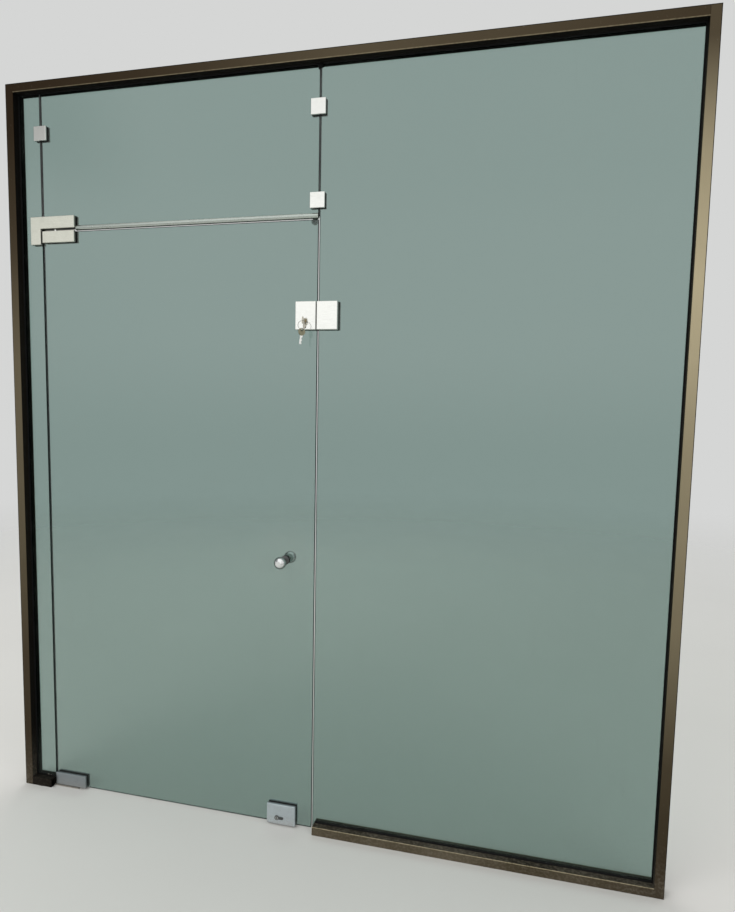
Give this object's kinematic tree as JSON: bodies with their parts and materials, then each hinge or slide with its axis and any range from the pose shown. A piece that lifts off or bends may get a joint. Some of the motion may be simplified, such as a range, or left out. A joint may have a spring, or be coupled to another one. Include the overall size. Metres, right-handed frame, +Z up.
{
  "type": "glass facade",
  "caption": "Frameless glass shop entrance in a slim bronze aluminium frame: side, transom and large fixed panes, and a glass pivot door with patch fittings, lock, keys and knobs.",
  "frame": {"origin": "middle of the frame's width at its foot, on the middle plane of the glass", "axes": "+X to the right as seen from outside, +Y from outside to inside, +Z up"},
  "size_m": [2.325, 0.138, 2.61],
  "materials": {
    "frame_bronze": "dark bronze anodised",
    "gasket_black": "matt",
    "setting_block": "matt",
    "screw_steel": "plain",
    "clear_glass": "clear, slightly green",
    "joint_silicone": "translucent, dirty",
    "clamp_metal": "polished",
    "patch_pad": "matt",
    "patch_metal": "satin",
    "pivot_steel": "turned, worn",
    "bush_plastic": "matt",
    "rail_aluminium": "satin",
    "stop_rubber": "matt",
    "lock_metal": "polished",
    "cylinder_nickel": "satin nickel",
    "plug_brass": "worn nickel over brass",
    "bolt_steel": "plain",
    "key_nickel": "worn nickel",
    "ring_steel": "worn",
    "knob_chrome": "polished"
  },
  "bodies": {
    "facade": {"jamb_left": "frame_bronze", "jamb_right": "frame_bronze", "head": "frame_bronze", "sill_right": "frame_bronze", "sill_left": "frame_bronze", "bead_left": "frame_bronze", "bead_right": "frame_bronze", "bead_head": "frame_bronze", "bead_sill_right": "frame_bronze", "bead_sill_left": "frame_bronze", "outer_gasket": "gasket_black", "inner_gasket": "gasket_black", "setting_blocks": "setting_block", "corner_screws": "screw_steel", "side_glass": "clear_glass", "transom_glass": "clear_glass", "fixed_glass": "clear_glass", "side_joint_seal": "joint_silicone", "middle_joint_seal": "joint_silicone", "clamp_fronts": "clamp_metal", "clamp_backs": "clamp_metal", "clamp_pads": "patch_pad", "clamp_screws": "screw_steel", "overpanel_patch_front": "patch_metal", "overpanel_patch_back": "patch_metal", "overpanel_pads": "patch_pad", "top_pivot_pin": "pivot_steel", "transom_rail": "rail_aluminium", "door_stop_arm": "rail_aluminium", "door_stop_buffer": "stop_rubber", "strike_front": "lock_metal", "strike_back": "lock_metal", "strike_keep": "lock_metal", "fixed_patch_screws": "screw_steel", "floor_pivot_base": "pivot_steel"},
    "door": {"door_glass": "clear_glass", "top_patch_front": "patch_metal", "top_patch_back": "patch_metal", "top_pivot_bush": "bush_plastic", "bottom_patch_front": "patch_metal", "bottom_patch_back": "patch_metal", "bottom_pivot_socket": "pivot_steel", "door_patch_pads": "patch_pad", "door_patch_screws": "screw_steel", "lock_front": "lock_metal", "lock_back": "lock_metal", "lock_cylinder": "cylinder_nickel", "floor_lock_front": "patch_metal", "floor_lock_back": "patch_metal", "floor_lock_cylinder": "cylinder_nickel", "knob_front": "knob_chrome", "knob_back": "knob_chrome", "knob_washers": "patch_pad"},
    "lock_key": {"lock_plug": "plug_brass", "key": "key_nickel", "key_ring": "ring_steel", "spare_key": "key_nickel"},
    "lock_bolt": {"lock_bolt": "bolt_steel"},
    "floor_plug": {"floor_lock_plug": "plug_brass"},
    "floor_bolt": {"floor_lock_bolt": "bolt_steel"}
  },
  "joints": [
    {"name": "door_swing", "type": "hinge", "parent": "facade", "child": "door", "pos_m": [-0.9945, 0, 0], "axis": [0, 0, -1], "range_deg": [0, 90]},
    {"name": "lock_turn", "type": "hinge", "parent": "door", "child": "lock_key", "pos_m": [-0.0335, 0, 1.773], "axis": [0, 1, 0], "range_deg": [0, 360]},
    {"name": "lock_throw", "type": "slide", "parent": "door", "child": "lock_bolt", "axis": [1, 0, 0], "range_m": [0, 0.02]},
    {"name": "floor_lock_turn", "type": "hinge", "parent": "door", "child": "floor_plug", "pos_m": [-0.121, 0, 0.03], "axis": [0, 1, 0], "range_deg": [0, 360]},
    {"name": "floor_lock_throw", "type": "slide", "parent": "door", "child": "floor_bolt", "axis": [0, 0, -1], "range_m": [0, 0.02]}
  ],
  "couplings": [
    {"joint": "lock_throw", "follows": "lock_turn", "m_per_rad": 0.003183},
    {"joint": "floor_lock_turn", "follows": "floor_lock_throw", "rad_per_m": 314.15}
  ]
}
